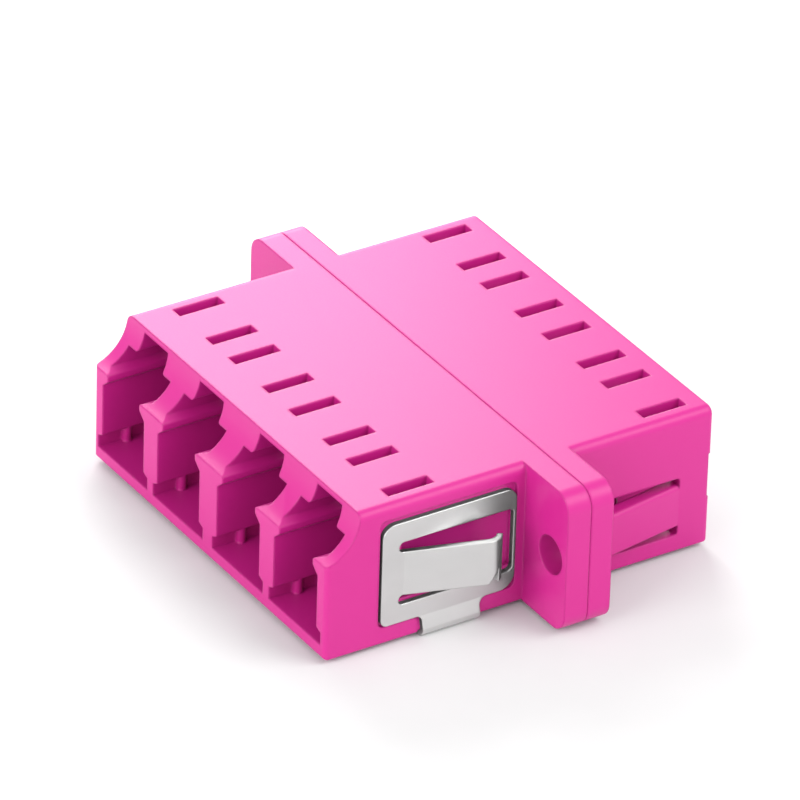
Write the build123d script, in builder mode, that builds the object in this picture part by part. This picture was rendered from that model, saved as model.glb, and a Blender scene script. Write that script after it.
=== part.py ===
from build123d import *
from math import cos, radians, sin, tan
import os

# A four-port duplex-footprint fibre optic adapter: two welded housings, a spring clip and four sleeves.
# +X runs across the flange, the front ports face -Y and +Z is up. The seam of the two housings lies
# at Y = 0 and their flat underside at Z = 0, on which the clip's strap stands proud. Millimetres.

# Body
body_height = 9.1
front_reach = 14.9
rear_reach = 11.2
side_wall = 0.925
top_corner_radius = 0.55
bottom_corner_radius = 0.12
front_corner_radius = 0.3
rear_edge_radius = 0.25
seam_chamfer = 0.06

# Flange
ear_reach = 4.4
front_flange_thickness = 1.6
rear_flange_thickness = 1.5
flange_corner_radius = 1.15
screw_edge_distance = 1.65
screw_hole_radius = 1.2

# Scoop across the front ports
scoop_radius = 3.0
scoop_axis_ahead = 0.8

# Port bays
port_pitch = 6.25
port_pair_spacing = 12.9
port_floor = 0.9
port_half_width = 2.35
ledge_low = 5.3
ledge_nose_low = 5.78
ledge_nose_high = 6.18
ledge_high = 6.42
ledge_reach = 0.55
ledge_radius = 0.17
latch_half_width = 2.38
lip_low = 7.5
lip_radius = 0.2
channel_half_width = 1.42
channel_taper = 0.1
channel_roof = 0.35
core_wall = 1.6

# Wider foot of each front port, with its two buttresses
foot_half_width = 2.8
foot_high = 1.7
foot_slope = 0.2
foot_ends_before_clip = 0.45
buttress_setback = 1.85
buttress_width = 0.6

# Latch windows in the top
front_window_inner = 7.2
front_window_length = 3.05
rear_window_inner = 7.0
rear_window_length = 2.95
window_width = 0.85
window_offset = 1.86

# Sleeves and their holders
sleeve_height = 3.2
sleeve_outer_radius = 0.81
sleeve_inner_radius = 0.625
sleeve_length = 11.4
sleeve_slit = 0.25
sleeve_clearance = 0.04
sleeve_end_gap = 0.1
holder_wall = 0.55
holder_lip = 0.4
holder_mouth_radius = 0.78
holder_mouth_chamfer = 0.2

# Spring clip
sheet = 0.35
plate_front = 11.25
plate_rear = 2.28
plate_low = 1.2
plate_below_top = 1.25
plate_front_high_radius = 0.85
plate_rear_high_radius = 0.7
plate_front_low_radius = 0.45
plate_rear_low_radius = 1.0
clip_window_rear = 2.45
clip_window_low = 2.37
clip_window_high = 6.55
clip_window_radius = 0.35
strap_front = 8.5
strap_rear = 4.65
strap_proud = 0.28
strap_flare = 0.22
strap_flare_low = 0.35
strap_front_neck_radius = 0.35
strap_rear_neck_radius = 0.5
strap_bend_radius = 0.6
clip_tongue_hinge = 9.8
clip_tongue_low = 3.0
clip_tongue_high = 5.86
clip_tongue_angle = 17.5
clip_tongue_bend = 5.03
clip_curl_radius = 1.0
clip_curl_angle = 78
clip_corner_length = 0.65
clip_corner_height = 0.9

# Pocket for the clip
pocket_depth = 0.2
pocket_above_plate = 0.33
pocket_radius = 0.4
pocket_gap = 0.1
groove_front_gap = 0.15
relief_depth = 0.3
relief_margin = 0.4

# Moulded tongues on the rear housing
rear_tongue_hinge = 9.05
rear_tongue_tip = 2.75
rear_tongue_low = 1.72
rear_tongue_high = 4.4
rear_tongue_thickness = 0.9
rear_tongue_angle = 9.4
rear_tongue_edge_radius = 0.25
rear_slot_low = 1.1
rear_slot_high = 4.94
rear_slot_radius = 0.22

# Shallow relief across the rear end
rear_relief_low = 3.0
rear_relief_high = 6.0
rear_relief_depth = 0.2

# Derived sizes and places
port_centres = [
    pair * port_pair_spacing / 2 + place * port_pitch / 2 for pair in (-1, 1) for place in (-1, 1)
]
half_width = port_centres[-1] + port_half_width + side_wall
body_width = 2 * half_width
flange_width = body_width + 2 * ear_reach
screw_spacing = flange_width - 2 * screw_edge_distance
foot_depth = front_reach - plate_front - foot_ends_before_clip
plate_high = body_height - plate_below_top
clip_half_width = half_width + sheet - pocket_depth
pocket_high = plate_high + pocket_above_plate
sleeve_bore_radius = sleeve_outer_radius + sleeve_clearance
holder_radius = sleeve_bore_radius + holder_wall
sleeve_seat = sleeve_length / 2 + sleeve_end_gap
holder_reach = sleeve_seat + holder_lip


def body_section() -> Sketch:
    """The body's cross-section, with softer corners at the top than at the foot."""
    with BuildSketch() as section:
        with Locations((0, body_height / 2)):
            Rectangle(body_width, body_height)
        fillet(section.vertices().group_by(Axis.Y)[-1], top_corner_radius)
        fillet(section.vertices().group_by(Axis.Y)[0], bottom_corner_radius)
    return section.sketch


def flange_section() -> Sketch:
    """The flange's outline with its two screw holes."""
    with BuildSketch() as section:
        with Locations((0, body_height / 2)):
            RectangleRounded(flange_width, body_height, flange_corner_radius)
            with GridLocations(screw_spacing, 0, 2, 1):
                Circle(screw_hole_radius, mode=Mode.SUBTRACT)
    return section.sketch


def port_section() -> Sketch:
    """One port bay seen from its mouth: plug bay, two ledges, latch bay and latch channel."""
    nose = port_half_width - ledge_reach
    channel_top = channel_half_width - channel_taper
    with BuildSketch() as section:
        with BuildLine():
            right = Polyline(
                (0, port_floor),
                (port_half_width, port_floor),
                (port_half_width, ledge_low),
                (nose, ledge_nose_low),
                (nose, ledge_nose_high),
                (latch_half_width, ledge_high),
                (latch_half_width, lip_low),
                (channel_half_width, lip_low),
                (channel_top, body_height - channel_roof),
                (0, body_height - channel_roof),
            )
            mirror(right, about=Plane.YZ)
        make_face()
        fillet(section.vertices().filter_by_position(Axis.Y, ledge_nose_low, ledge_nose_high), ledge_radius)
        lips = section.vertices().filter_by_position(Axis.Y, lip_low, lip_low)
        fillet(lips.filter_by_position(Axis.X, -channel_half_width, channel_half_width), lip_radius)
    return section.sketch


def foot_section() -> Sketch:
    """The wider foot of a front port's mouth, with sloping shoulders."""
    with BuildSketch() as section:
        with BuildLine():
            right = Polyline(
                (0, port_floor),
                (foot_half_width, port_floor),
                (foot_half_width, foot_high),
                (port_half_width, foot_high + foot_slope),
                (0, foot_high + foot_slope),
            )
            mirror(right, about=Plane.YZ)
        make_face()
    return section.sketch


def wrap_section(reach: float, low: float, bend_radius: float) -> Sketch:
    """One face of the clip's sheet across the body, which flares out below the plates."""
    right = (
        (reach, body_height),
        (reach, plate_low),
        (reach + strap_flare, strap_flare_low),
        (reach + strap_flare, low),
    )
    left = [(-x, z) for x, z in reversed(right)]
    with BuildSketch() as section:
        with BuildLine():
            Polyline(*right, *left, close=True)
        make_face()
        fillet(section.vertices().group_by(Axis.Y)[0], bend_radius)
    return section.sketch


def tongue_section() -> Sketch:
    """A clip tongue from above: a straight ramp that curls back to the body at its free end."""
    slope = radians(clip_tongue_angle)
    along = Vector(sin(slope), cos(slope), 0)
    inward = Vector(-cos(slope), sin(slope), 0) * sheet
    root = Vector(clip_half_width, -clip_tongue_hinge, 0)
    tip = root + along * ((clip_tongue_hinge - clip_tongue_bend) / cos(slope))
    with BuildSketch() as section:
        with BuildLine():
            Line(root, tip)
            outer = JernArc(tip, along, clip_curl_radius, clip_curl_angle)
            inner = JernArc(tip + inward, along, clip_curl_radius - sheet, clip_curl_angle)
            Line(outer @ 1, inner @ 1)
            Polyline(tip + inward, root + inward, root - (sheet, 0, 0), root)
        make_face()
    return section.sketch


def housing_blank(reach: float, flange_thickness: float) -> Part:
    """A half body with its flange, from the seam towards -Y, with the seam's outer edge broken."""
    with BuildPart() as blank:
        with BuildSketch(Plane.XZ):
            add(body_outline)
        extrude(amount=reach)
        with BuildSketch(Plane.XZ):
            add(flange_outline)
        extrude(amount=flange_thickness)
        chamfer(blank.faces().sort_by(Axis.Y)[-1].outer_wire().edges(), seam_chamfer)
        # The seam stays square along the foot, where the part rests
        with BuildSketch(Plane.XZ):
            with Locations((0, seam_chamfer / 2)):
                Rectangle(flange_width - 2 * flange_corner_radius, seam_chamfer)
        extrude(amount=seam_chamfer)
    return blank.part


def port_row(reach: float) -> Part:
    """Four port bays, from the core wall out to the mouths."""
    with BuildPart() as row:
        with BuildSketch(Plane.XZ.offset(core_wall)):
            with Locations([(x, 0) for x in port_centres]):
                add(port_outline)
        extrude(amount=reach - core_wall)
    return row.part


def window_row(inner: float, length: float) -> Part:
    """Eight latch windows, from the top down to the latch bays."""
    middle = -inner - length / 2
    with BuildPart() as row:
        with BuildSketch(Plane.XY.offset(lip_low)):
            with Locations([(x + side * window_offset, middle) for x in port_centres for side in (-1, 1)]):
                Rectangle(window_width, length)
        extrude(amount=body_height - lip_low)
    return row.part


def holder_row() -> Part:
    """Four tubes that stand out of the core wall, each with a broken outer edge at its mouth."""
    with BuildPart() as row:
        with BuildSketch(Plane.XZ.offset(core_wall)):
            with Locations([(x, sleeve_height) for x in port_centres]):
                Circle(holder_radius)
        extrude(amount=holder_reach - core_wall)
        chamfer(row.faces().group_by(Axis.Y)[0].edges(), holder_mouth_chamfer)
    return row.part


def sleeve_bores() -> Part:
    """The bores that seat half of each sleeve, with a lip at the mouth that keeps it in."""
    with BuildPart() as bores:
        for radius, depth in ((sleeve_bore_radius, sleeve_seat), (holder_mouth_radius, holder_reach)):
            with BuildSketch(Plane.XZ):
                with Locations([(x, sleeve_height) for x in port_centres]):
                    Circle(radius)
            extrude(amount=depth)
    return bores.part


def strap_band(front_gap: float, rear_gap: float, outline: Sketch) -> Part:
    """The strap under the body, widened into the plates at its four necks.

    The same shape with gaps along its edges and the body's own outline cuts its groove.
    """
    front = strap_front + front_gap
    rear = strap_rear - rear_gap
    with BuildPart() as band:
        with BuildSketch(Plane.XZ.offset(rear - strap_rear_neck_radius)):
            add(outline)
            add(wrap_inside, mode=Mode.SUBTRACT)
            with Locations((0, plate_low + body_height / 2)):
                Rectangle(flange_width, body_height, mode=Mode.SUBTRACT)
        extrude(amount=front + strap_front_neck_radius - rear + strap_rear_neck_radius)
        for edge, away, radius in (
            (-front, -1, strap_front_neck_radius),
            (-rear, 1, strap_rear_neck_radius),
        ):
            top = plate_low - rear_gap
            with BuildSketch(Plane.YZ) as neck:
                with Locations((edge + away * plate_low, top - plate_low)):
                    Rectangle(2 * plate_low, 2 * plate_low)
                fillet(neck.vertices().sort_by_distance((edge, top, 0))[0], radius)
            extrude(amount=flange_width / 2, both=True, mode=Mode.SUBTRACT)
    return band.part


body_outline = body_section()
flange_outline = flange_section()
port_outline = port_section()
foot_outline = foot_section()
wrap_inside = wrap_section(clip_half_width - sheet, sheet - strap_proud, strap_bend_radius - sheet)
wrap_outside = wrap_section(clip_half_width, -strap_proud, strap_bend_radius)
tongue_outline = tongue_section()
front_blank = housing_blank(front_reach, front_flange_thickness)
rear_blank = housing_blank(rear_reach, rear_flange_thickness)
front_ports = port_row(front_reach)
rear_ports = port_row(rear_reach)
front_windows = window_row(front_window_inner, front_window_length)
rear_windows = window_row(rear_window_inner, rear_window_length)
holders = holder_row()
bores = sleeve_bores()

# Front housing: scooped ports, the clip's pockets and the strap's groove
with BuildPart() as front_housing:
    add(front_blank)
    fillet(front_housing.faces().sort_by(Axis.Y)[0].edges().filter_by(Axis.Z), front_corner_radius)
    with BuildSketch(Plane.YZ):
        with Locations((-front_reach - scoop_axis_ahead, body_height)):
            Circle(scoop_radius)
    extrude(amount=half_width, both=True, mode=Mode.SUBTRACT)
    add(front_ports, mode=Mode.SUBTRACT)
    # The foot of each mouth is wider, and a round-nosed buttress stands at each side of it
    with BuildSketch(Plane.XZ.offset(front_reach - foot_depth)):
        with Locations([(x, 0) for x in port_centres]):
            add(foot_outline)
    extrude(amount=foot_depth, mode=Mode.SUBTRACT)
    with BuildSketch(Plane.XY.offset(port_floor)):
        for x in port_centres:
            for side in (-1, 1):
                nose = x + side * (port_half_width + buttress_width / 2)
                with Locations((nose, buttress_setback - front_reach)):
                    Circle(buttress_width / 2)
                with Locations((x + side * foot_half_width, buttress_setback - front_reach)):
                    Rectangle(buttress_width / 2, buttress_width)
    extrude(amount=foot_high + foot_slope - port_floor)
    add(front_windows, mode=Mode.SUBTRACT)
    add(holders)
    add(bores, mode=Mode.SUBTRACT)
    # A flat pocket in each side face seats the clip's plate, with a deeper bed for its tongue
    for side in (-1, 1):
        with BuildSketch(Plane.YZ.offset(side * half_width)):
            low = plate_low - pocket_gap
            front = -plate_front - pocket_gap
            rear = -plate_rear + pocket_gap
            with Locations(((front + rear) / 2, (low + pocket_high) / 2)):
                RectangleRounded(rear - front, pocket_high - low, pocket_radius)
        extrude(amount=-side * pocket_depth, mode=Mode.SUBTRACT)
        with BuildSketch(Plane.YZ.offset(side * (half_width - pocket_depth))):
            low = clip_tongue_low - relief_margin
            high = clip_tongue_high + relief_margin
            rear = -clip_window_rear
            with Locations(((rear - clip_tongue_hinge) / 2, (low + high) / 2)):
                Rectangle(rear + clip_tongue_hinge, high - low)
        extrude(amount=-side * relief_depth, mode=Mode.SUBTRACT)
    # The strap's groove runs down both sides and across the foot
    add(strap_band(groove_front_gap, pocket_gap, body_outline), mode=Mode.SUBTRACT)

# Rear housing: a flat end, and one moulded tongue in each side wall
with BuildPart() as rear_housing:
    mirror(rear_blank, about=Plane.XZ)
    fillet(rear_housing.faces().sort_by(Axis.Y)[-1].edges(), rear_edge_radius)
    mirror(rear_ports, about=Plane.XZ, mode=Mode.SUBTRACT)
    with BuildSketch(Plane.XZ.offset(-rear_reach)):
        with Locations((0, (rear_relief_low + rear_relief_high) / 2)):
            Rectangle(body_width, rear_relief_high - rear_relief_low)
    extrude(amount=rear_relief_depth, mode=Mode.SUBTRACT)
    mirror(rear_windows, about=Plane.XZ, mode=Mode.SUBTRACT)
    mirror(holders, about=Plane.XZ)
    mirror(bores, about=Plane.XZ, mode=Mode.SUBTRACT)
    # A slot frees each tongue from the wall on three sides
    for side in (-1, 1):
        with BuildSketch(Plane.YZ.offset(side * half_width)) as slot:
            middle = (core_wall + rear_tongue_hinge) / 2
            with Locations((middle, (rear_slot_low + rear_slot_high) / 2)):
                Rectangle(rear_tongue_hinge - core_wall, rear_slot_high - rear_slot_low)
            fillet(slot.vertices().group_by(Axis.X)[-1], rear_slot_radius)
        extrude(amount=-side * side_wall, mode=Mode.SUBTRACT)
        lift = (rear_tongue_hinge - rear_tongue_tip) * tan(radians(rear_tongue_angle))
        with BuildSketch(Plane.XY.offset(rear_tongue_low)):
            with BuildLine():
                Polyline(
                    (side * half_width, rear_tongue_hinge),
                    (side * (half_width + lift), rear_tongue_tip),
                    (side * (half_width + lift - rear_tongue_thickness), rear_tongue_tip),
                    (side * (half_width - rear_tongue_thickness), rear_tongue_hinge),
                    close=True,
                )
            make_face()
        extrude(amount=rear_tongue_high - rear_tongue_low)
    brows = rear_housing.edges().filter_by_position(Axis.Z, rear_tongue_high, rear_tongue_high)
    brows = brows.filter_by(lambda edge: abs(edge.center().X) > half_width)
    fillet(brows, rear_tongue_edge_radius)

# Spring clip: one folded sheet, two side plates with sprung tongues, joined under the body
with BuildPart() as spring_clip:
    add(strap_band(0, 0, wrap_outside))
    for side in (-1, 1):
        with BuildSketch(Plane.YZ.offset(side * clip_half_width)) as plate:
            with Locations((-(plate_front + plate_rear) / 2, (plate_low + plate_high) / 2)):
                Rectangle(plate_front - plate_rear, plate_high - plate_low)
            for corner, radius in (
                ((-plate_front, plate_high), plate_front_high_radius),
                ((-plate_rear, plate_high), plate_rear_high_radius),
                ((-plate_front, plate_low), plate_front_low_radius),
                ((-plate_rear, plate_low), plate_rear_low_radius),
            ):
                fillet(plate.vertices().sort_by_distance((corner[0], corner[1], 0))[0], radius)
        extrude(amount=-side * sheet)
        with BuildSketch(Plane.YZ.offset(side * clip_half_width)) as window:
            middle = -(clip_tongue_hinge + clip_window_rear) / 2
            with Locations((middle, (clip_window_low + clip_window_high) / 2)):
                Rectangle(clip_tongue_hinge - clip_window_rear, clip_window_high - clip_window_low)
            fillet(window.vertices().group_by(Axis.X)[-1], clip_window_radius)
            for low, high in ((clip_window_low, clip_tongue_low), (clip_tongue_high, clip_window_high)):
                with Locations((-clip_tongue_hinge, (low + high) / 2)):
                    Circle((high - low) / 2)
        extrude(amount=-side * sheet, mode=Mode.SUBTRACT)
    # Each tongue is bent outwards, and its lower free corner is cut off
    with BuildSketch(Plane.XY.offset(clip_tongue_low)):
        add(tongue_outline)
        mirror(tongue_outline, about=Plane.YZ)
    extrude(amount=clip_tongue_high - clip_tongue_low)
    with BuildSketch(Plane.YZ):
        curl_end = clip_curl_radius * (1 - sin(radians(clip_tongue_angle))) - clip_tongue_bend
        with BuildLine():
            Polyline(
                (curl_end, clip_tongue_low),
                (curl_end, clip_tongue_low + clip_corner_height),
                (curl_end - clip_corner_length, clip_tongue_low),
                close=True,
            )
        make_face()
    extrude(amount=flange_width / 2, both=True, mode=Mode.SUBTRACT)

# Split sleeves: slit tubes of ceramic, one in each port
with BuildPart() as sleeve:
    with BuildSketch(Plane.XZ):
        with Locations((0, sleeve_height)):
            Circle(sleeve_outer_radius)
            Circle(sleeve_inner_radius, mode=Mode.SUBTRACT)
        with Locations((0, sleeve_height + sleeve_outer_radius)):
            Rectangle(sleeve_slit, sleeve_outer_radius, mode=Mode.SUBTRACT)
    extrude(amount=sleeve_length / 2, both=True)

os.makedirs("parts", exist_ok=True)
front_housing.part.label = "front_housing"
export_step(front_housing.part, "parts/front_housing.step")
rear_housing.part.label = "rear_housing"
export_step(rear_housing.part, "parts/rear_housing.step")
spring_clip.part.label = "spring_clip"
export_step(spring_clip.part, "parts/spring_clip.step")
for number, x in enumerate(port_centres, start=1):
    split_sleeve = Pos(x, 0, 0) * sleeve.part
    split_sleeve.label = f"split_sleeve_{number}"
    export_step(split_sleeve, f"parts/split_sleeve_{number}.step")
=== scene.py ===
"""The looks of a four-port fibre optic adapter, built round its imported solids.

The moulded housings, the folded spring clip and the ceramic sleeves get their finishes here, and a
plain studio with soft light shows the part from the photograph's viewing angle. Everything is in
metres, in the frame of the solids.
"""

import logging
import math
from dataclasses import dataclass
from enum import Enum
from typing import Any, Optional, Sequence, Union

import bpy
from mathutils import Matrix, Vector


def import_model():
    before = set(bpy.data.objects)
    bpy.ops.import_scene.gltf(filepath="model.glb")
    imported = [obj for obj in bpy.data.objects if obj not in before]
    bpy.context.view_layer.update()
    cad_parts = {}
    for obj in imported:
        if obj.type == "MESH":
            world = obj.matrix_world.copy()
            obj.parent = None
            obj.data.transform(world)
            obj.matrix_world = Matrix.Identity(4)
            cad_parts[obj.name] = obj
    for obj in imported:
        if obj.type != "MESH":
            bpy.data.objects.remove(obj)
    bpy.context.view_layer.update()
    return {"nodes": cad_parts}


log = logging.getLogger("fibre_adapter")

MM = 0.001
Colour = tuple[float, float, float]
Scale = tuple[float, float, float]

# Smooth noise seldom leaves this range
NOISE_LOW = 0.3
NOISE_HIGH = 0.7

# The Mix node's colour sockets have numbers, as its sockets of each kind share their names
MIX_FIRST = 6
MIX_SECOND = 7
MIX_RESULT = 2


class Op(Enum):
    """The Math node's operations that the shaders use."""

    ADD = "ADD"
    MULTIPLY = "MULTIPLY"
    MAXIMUM = "MAXIMUM"


class Ray(Enum):
    """The kinds of ray that the Light Path node tells apart."""

    CAMERA = "Is Camera Ray"
    DIFFUSE = "Is Diffuse Ray"
    GLOSSY = "Is Glossy Ray"
    TRANSMISSION = "Is Transmission Ray"


class Field:
    """A shader socket that takes part in Python sums: each operator adds a Math node."""

    def __init__(self, sheet: "ShaderSheet", socket: bpy.types.NodeSocket) -> None:
        """Keeps the socket and the sheet that it belongs to."""
        self.sheet = sheet
        self.socket = socket

    def _math(self, operation: Op, left: "Value", right: "Value") -> "Field":
        """Adds one Math node and gives its result."""
        return self.sheet.node("ShaderNodeMath", {"operation": operation.value}, {0: left, 1: right})

    def __add__(self, other: "Value") -> "Field":
        """Adds."""
        return self._math(Op.ADD, self, other)

    def __radd__(self, other: "Value") -> "Field":
        """Adds, from the right."""
        return self._math(Op.ADD, other, self)

    def __mul__(self, other: "Value") -> "Field":
        """Multiplies."""
        return self._math(Op.MULTIPLY, self, other)

    def __rmul__(self, other: "Value") -> "Field":
        """Multiplies, from the right."""
        return self._math(Op.MULTIPLY, other, self)

    def at_least(self, other: "Value") -> "Field":
        """Takes the larger of the two."""
        return self._math(Op.MAXIMUM, self, other)


Value = Union[Field, float, Sequence[float]]
Inputs = dict[Union[int, str], Value]


class ShaderSheet:
    """The nodes of one material, or of the sky."""

    def __init__(self, owner: Union[bpy.types.Material, bpy.types.World]) -> None:
        """Starts an empty node tree.

        Args:
            owner: The material or world that the nodes belong to.
        """
        owner.use_nodes = True
        self.tree = owner.node_tree
        self.tree.nodes.clear()

    def node(
        self,
        kind: str,
        settings: Optional[dict[str, Any]] = None,
        inputs: Optional[Inputs] = None,
        output: Union[int, str] = 0,
    ) -> Field:
        """Adds a node, sets it up and fills its sockets.

        Args:
            kind: The node's type.
            settings: Its properties, set before its sockets.
            inputs: A value, or another field, for each named or numbered socket.
            output: The socket that the result is read from.

        Returns:
            The field of that output.
        """
        added = self.tree.nodes.new(kind)
        for key, setting in (settings or {}).items():
            setattr(added, key, setting)
        for key, value in (inputs or {}).items():
            if isinstance(value, Field):
                self.tree.links.new(value.socket, added.inputs[key])
            else:
                added.inputs[key].default_value = value
        return Field(self, added.outputs[output])

    def ray(self, kind: Ray) -> Field:
        """One for rays of that kind, and nought for the others."""
        return self.node("ShaderNodeLightPath", output=kind.value)

    def scaled(self, scale: Scale) -> Field:
        """The place on the piece in metres, stretched along each axis."""
        place = self.node("ShaderNodeTexCoord", output="Object")
        return self.node("ShaderNodeMapping", inputs={"Vector": place, "Scale": scale})

    def noise(self, scale: Scale, detail: float = 2.0, roughness: float = 0.5) -> Field:
        """Smooth noise from 0 to 1.

        Args:
            scale: Waves to a metre along X, Y and Z.
            detail: How many finer layers it has.
            roughness: How strong the finer layers are.

        Returns:
            The noise's value.
        """
        return self.node(
            "ShaderNodeTexNoise",
            inputs={"Vector": self.scaled(scale), "Scale": 1.0, "Detail": detail, "Roughness": roughness},
            output="Fac",
        )

    def spread(self, noise: Field, low: float, high: float) -> Field:
        """Maps the range in which a noise mostly lies on to another.

        Args:
            noise: The noise.
            low: What its low end becomes.
            high: What its high end becomes.

        Returns:
            The mapped noise, held between low and high.
        """
        ends: Inputs = {"From Min": NOISE_LOW, "From Max": NOISE_HIGH, "To Min": low, "To Max": high}
        return self.node("ShaderNodeMapRange", inputs={"Value": noise, **ends})

    def tint(self, share: Field, first: Union[Field, Colour], second: Union[Field, Colour]) -> Field:
        """Mixes two colours.

        Args:
            share: How much of the second colour there is.
            first: The colour where the share is nought.
            second: The colour where the share is one.

        Returns:
            The mixed colour.
        """
        start, end = (colour if isinstance(colour, Field) else (*colour, 1.0) for colour in (first, second))
        inputs: Inputs = {"Factor": share, MIX_FIRST: start, MIX_SECOND: end}
        return self.node("ShaderNodeMix", {"data_type": "RGBA"}, inputs, MIX_RESULT)

    def relief(self, height: Field, strength: float, depth: float, edge_radius: float) -> Field:
        """The surface's direction, with a fine relief and with its sharp edges rounded.

        Args:
            height: The relief, from 0 to 1.
            strength: How much of it is seen.
            depth: How deep it is, in metres.
            edge_radius: How wide the rounding of an edge is, in metres.

        Returns:
            The normal.
        """
        rounded = self.node("ShaderNodeBevel", {"samples": 6}, {"Radius": edge_radius})
        return self.node(
            "ShaderNodeBump",
            inputs={"Strength": strength, "Distance": depth, "Height": height, "Normal": rounded},
        )

    def finish(self, shader: str, output: str, inputs: Inputs) -> None:
        """Ends the tree in one shader.

        Args:
            shader: The type of the shader node.
            output: The type of the node that it runs into.
            inputs: The value or field of each of the shader's sockets.
        """
        surface = self.node(shader, inputs=inputs)
        end = self.tree.nodes.new(output)
        self.tree.links.new(surface.socket, end.inputs["Surface"])


@dataclass(frozen=True)
class Finish:
    """What every finish has: a name, and a surface that its own class draws."""

    name: str

    def surface(self, sheet: ShaderSheet) -> Inputs:
        """Adds the finish's nodes to the sheet and gives the values of the surface's sockets."""
        raise NotImplementedError(self.name)

    def material(self) -> bpy.types.Material:
        """Builds the material.

        Returns:
            A material with one Principled surface.
        """
        material = bpy.data.materials.new(self.name)
        sheet = ShaderSheet(material)
        sheet.finish("ShaderNodeBsdfPrincipled", "ShaderNodeOutputMaterial", self.surface(sheet))
        return material


@dataclass(frozen=True)
class MouldedPlastic(Finish):
    """Satin magenta plastic, straight from a fine-blasted mould."""

    name: str = "moulded_magenta"
    base: Colour = (0.66, 0.012, 0.27)
    pale: Colour = (0.71, 0.015, 0.295)
    # Painted bounce light: the paler colour that diffuse rays see in place of the plastic's own
    painted_bounce_colour: Colour = (0.48, 0.15, 0.31)
    # Painted reflection: the dark grey that glossy rays see in place of the plastic's colour
    painted_reflection_grey: Colour = (0.065, 0.055, 0.06)
    cloud_scale: Scale = (260.0, 260.0, 260.0)
    cloud_detail: float = 3.0
    cloud_share: float = 0.7
    grain_scale: Scale = (9000.0, 9000.0, 9000.0)
    grain_strength: float = 0.04
    grain_depth: float = 0.02 * MM
    roughness_low: float = 0.36
    roughness_high: float = 0.44
    refraction: float = 1.5
    edge_radius: float = 0.2 * MM

    def surface(self, sheet: ShaderSheet) -> Inputs:
        """A faint cloud in the colour and a fine blasted grain.

        In diffuse rays the plastic shows a paler painted bounce colour, so the colour that it throws on to
        the floor and its neighbours is held back, as in the photograph. In glossy rays it shows a painted
        dark grey reflection in place of its own colour.

        Args:
            sheet: Where the nodes go.

        Returns:
            The values of the surface's sockets.
        """
        cloud = sheet.noise(self.cloud_scale, self.cloud_detail)
        grain = sheet.noise(self.grain_scale)
        mottle = self.cloud_share * cloud + (1.0 - self.cloud_share) * grain
        colour = sheet.tint(mottle, self.base, self.pale)
        # Painted bounce light: diffuse rays see a paler, less pink colour than the plastic's own
        colour = sheet.tint(sheet.ray(Ray.DIFFUSE), colour, self.painted_bounce_colour)
        # Painted reflection: glossy rays see dark grey in place of the plastic's colour
        colour = sheet.tint(sheet.ray(Ray.GLOSSY), colour, self.painted_reflection_grey)
        return {
            "Base Color": colour,
            "Roughness": sheet.spread(grain, self.roughness_low, self.roughness_high),
            "Normal": sheet.relief(grain, self.grain_strength, self.grain_depth, self.edge_radius),
            "IOR": self.refraction,
        }


@dataclass(frozen=True)
class RolledSteel(Finish):
    """Satin stainless sheet with the faint lines of rolling along Y."""

    name: str = "rolled_stainless"
    dark: Colour = (0.62, 0.62, 0.615)
    light: Colour = (0.70, 0.70, 0.695)
    cloud_scale: Scale = (500.0, 300.0, 500.0)
    line_scale: Scale = (5000.0, 240.0, 16000.0)
    line_detail: float = 4.0
    line_roughness: float = 0.6
    line_strength: float = 0.02
    line_depth: float = 0.01 * MM
    roughness_low: float = 0.31
    roughness_high: float = 0.37
    edge_radius: float = 0.12 * MM

    def surface(self, sheet: ShaderSheet) -> Inputs:
        """Long fine lines in roughness and relief, and a faint cloud in the colour.

        Args:
            sheet: Where the nodes go.

        Returns:
            The values of the surface's sockets.
        """
        lines = sheet.noise(self.line_scale, self.line_detail, self.line_roughness)
        cloud = sheet.noise(self.cloud_scale)
        return {
            "Base Color": sheet.tint(cloud, self.dark, self.light),
            "Roughness": sheet.spread(lines, self.roughness_low, self.roughness_high),
            "Normal": sheet.relief(lines, self.line_strength, self.line_depth, self.edge_radius),
            "Metallic": 1.0,
        }


@dataclass(frozen=True)
class SinteredCeramic(Finish):
    """White polished ceramic with a breath of ivory."""

    name: str = "sintered_ceramic"
    cool: Colour = (0.86, 0.86, 0.82)
    warm: Colour = (0.88, 0.86, 0.79)
    cloud_scale: Scale = (900.0, 400.0, 900.0)
    cloud_detail: float = 3.0
    roughness_low: float = 0.12
    roughness_high: float = 0.2
    refraction: float = 2.1

    def surface(self, sheet: ShaderSheet) -> Inputs:
        """A faint cloud in colour and polish.

        Args:
            sheet: Where the nodes go.

        Returns:
            The values of the surface's sockets.
        """
        cloud = sheet.noise(self.cloud_scale, self.cloud_detail)
        return {
            "Base Color": sheet.tint(cloud, self.cool, self.warm),
            "Roughness": sheet.spread(cloud, self.roughness_low, self.roughness_high),
            "IOR": self.refraction,
        }


@dataclass(frozen=True)
class StudioPaper(Finish):
    """The floor's plain pale paper."""

    name: str = "studio_paper"
    dull: Colour = (0.86, 0.86, 0.86)
    bright: Colour = (0.88, 0.88, 0.88)
    fibre_scale: Scale = (300.0, 300.0, 300.0)
    roughness: float = 0.9
    specular_level: float = 0.1

    def surface(self, sheet: ShaderSheet) -> Inputs:
        """Matt paper with a faint cloud in its grey.

        Args:
            sheet: Where the nodes go.

        Returns:
            The values of the surface's sockets.
        """
        fibre = sheet.noise(self.fibre_scale)
        return {
            "Base Color": sheet.tint(fibre, self.dull, self.bright),
            "Roughness": self.roughness,
            "Specular IOR Level": self.specular_level,
        }


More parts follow.
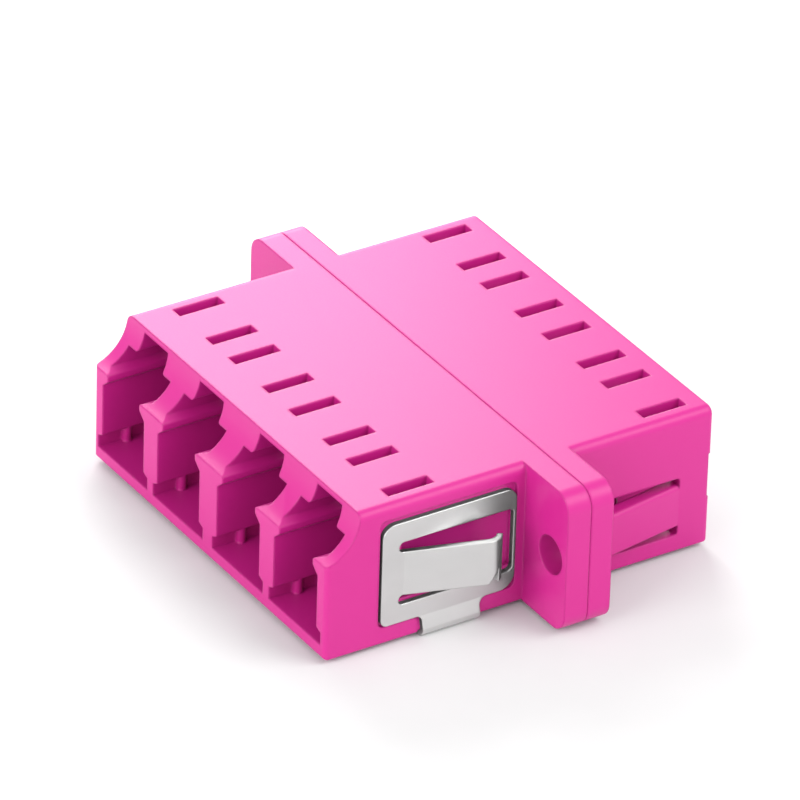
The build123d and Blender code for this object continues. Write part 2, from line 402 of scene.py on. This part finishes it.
@dataclass
class Housings:
    """The two moulded half bodies, welded at the seam."""

    nodes: tuple[str, ...] = ("front_housing", "rear_housing")
    plastic: MouldedPlastic = MouldedPlastic()

    def dress(self, solids: dict[str, bpy.types.Object]) -> None:
        """Gives both half bodies their plastic.

        Args:
            solids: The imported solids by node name.
        """
        material = self.plastic.material()
        for node in self.nodes:
            assign(solids[node], material)
            log.info("dressed %s", node)


@dataclass
class SpringClip:
    """The folded steel clip round the front half."""

    node: str = "spring_clip"
    steel: RolledSteel = RolledSteel()

    def dress(self, solids: dict[str, bpy.types.Object]) -> None:
        """Gives the clip its rolled steel."""
        assign(solids[self.node], self.steel.material())
        log.info("dressed %s", self.node)


@dataclass
class Sleeves:
    """The split alignment sleeves inside the ports."""

    count: int = 4
    ceramic: SinteredCeramic = SinteredCeramic()

    def dress(self, solids: dict[str, bpy.types.Object]) -> None:
        """Gives every sleeve its ceramic.

        Args:
            solids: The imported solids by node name.
        """
        material = self.ceramic.material()
        for number in range(1, self.count + 1):
            node = f"split_sleeve_{number}"
            assign(solids[node], material)
            log.info("dressed %s", node)


@dataclass(frozen=True)
class SoftLamp:
    """A square lamp that faces the part: its place and side in metres, its power in watts."""

    name: str
    place: tuple[float, float, float]
    side: float
    power: float

    def hang(self) -> None:
        """Adds the lamp to the scene, unseen by the camera."""
        data = bpy.data.lights.new(self.name, "AREA")
        data.shape = "SQUARE"
        data.size = self.side
        data.energy = self.power
        lamp = bpy.data.objects.new(self.name, data)
        lamp.visible_camera = False
        bpy.context.scene.collection.objects.link(lamp)
        spot = Vector(self.place)
        lamp.matrix_world = Matrix.Translation(spot) @ spot.to_track_quat("Z", "Y").to_matrix().to_4x4()


@dataclass
class Studio:
    """A pale floor, soft lamps and the camera at the photograph's viewing angle.

    Lengths are in metres, but the lens and the film are in millimetres, as Blender has them.
    """

    azimuth: float = math.radians(56.9616)
    elevation: float = math.radians(31.1655)
    roll: float = math.radians(1.8046)
    distance: float = 523.69 * MM
    look_height: float = 4.63 * MM
    slide_right: float = -1.6123 * MM
    slide_up: float = 1.2876 * MM
    lens: float = 405.35
    film_width: float = 36.0
    nearest: float = 0.05
    farthest: float = 20.0
    floor_size: float = 3.0
    floor_height: float = -0.28 * MM
    sky: float = 0.6
    paper: StudioPaper = StudioPaper()
    lamps: tuple[SoftLamp, ...] = (
        SoftLamp("back_softbox", (-0.110, 0.027, 0.065), 0.09, 0.145),
        SoftLamp("high_lamp", (0.36, 0.33, 0.50), 0.4, 2.0),
        SoftLamp("front_lamp", (0.1, -0.7, 0.3), 0.5, 3.0),
        SoftLamp("side_lamp", (0.8, 0.1, 0.35), 0.5, 0.8),
    )

    def add_camera(self) -> None:
        """Adds the camera, which looks down on the front and the right side."""
        a, e = self.azimuth, self.elevation
        back = Vector((math.sin(a) * math.cos(e), -math.cos(a) * math.cos(e), math.sin(e)))
        level = Vector((math.cos(a), math.sin(a), 0.0))
        upright = back.cross(level)
        right = level * math.cos(self.roll) + upright * math.sin(self.roll)
        up = upright * math.cos(self.roll) - level * math.sin(self.roll)
        centre = Vector((0.0, 0.0, self.look_height)) + right * self.slide_right + up * self.slide_up
        data = bpy.data.cameras.new("camera")
        data.lens = self.lens
        data.sensor_width = self.film_width
        data.clip_start = self.nearest
        data.clip_end = self.farthest
        camera = bpy.data.objects.new("camera", data)
        bpy.context.scene.collection.objects.link(camera)
        turn = Matrix((right, up, back)).transposed()
        camera.matrix_world = Matrix.Translation(centre + back * self.distance) @ turn.to_4x4()
        bpy.context.scene.camera = camera

    def lay_floor(self) -> None:
        """Lays the floor at the foot of the clip's strap."""
        bpy.ops.mesh.primitive_plane_add(size=self.floor_size, location=(0.0, 0.0, self.floor_height))
        floor = bpy.context.object
        floor.name = "studio_floor"
        assign(floor, self.paper.material())

    def light(self) -> None:
        """Hangs the lamps and sets the sky, which is plain white to the camera and in reflections."""
        for lamp in self.lamps:
            lamp.hang()
        world = bpy.data.worlds.new("studio_sky")
        sheet = ShaderSheet(world)
        seen = sheet.ray(Ray.CAMERA).at_least(sheet.ray(Ray.GLOSSY)).at_least(sheet.ray(Ray.TRANSMISSION))
        strength = self.sky + (1.0 - self.sky) * seen
        inputs: Inputs = {"Color": (1.0, 1.0, 1.0, 1.0), "Strength": strength}
        sheet.finish("ShaderNodeBackground", "ShaderNodeOutputWorld", inputs)
        bpy.context.scene.world = world
        bpy.context.scene.view_settings.view_transform = "Standard"


def assign(piece: bpy.types.Object, material: bpy.types.Material) -> None:
    """Gives a piece one material all over."""
    piece.data.materials.clear()
    piece.data.materials.append(material)


def deselect_all() -> None:
    """Leaves nothing selected and nothing active."""
    bpy.ops.object.select_all(action="DESELECT")
    bpy.context.view_layer.objects.active = None


def main() -> None:
    """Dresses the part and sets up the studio."""
    logging.basicConfig(level=logging.INFO, format="%(name)s: %(message)s")
    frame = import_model()
    deselect_all()
    solids = frame["nodes"]
    Housings().dress(solids)
    SpringClip().dress(solids)
    Sleeves().dress(solids)
    studio = Studio()
    studio.add_camera()
    studio.lay_floor()
    studio.light()


if __name__ == "__main__":
    main()
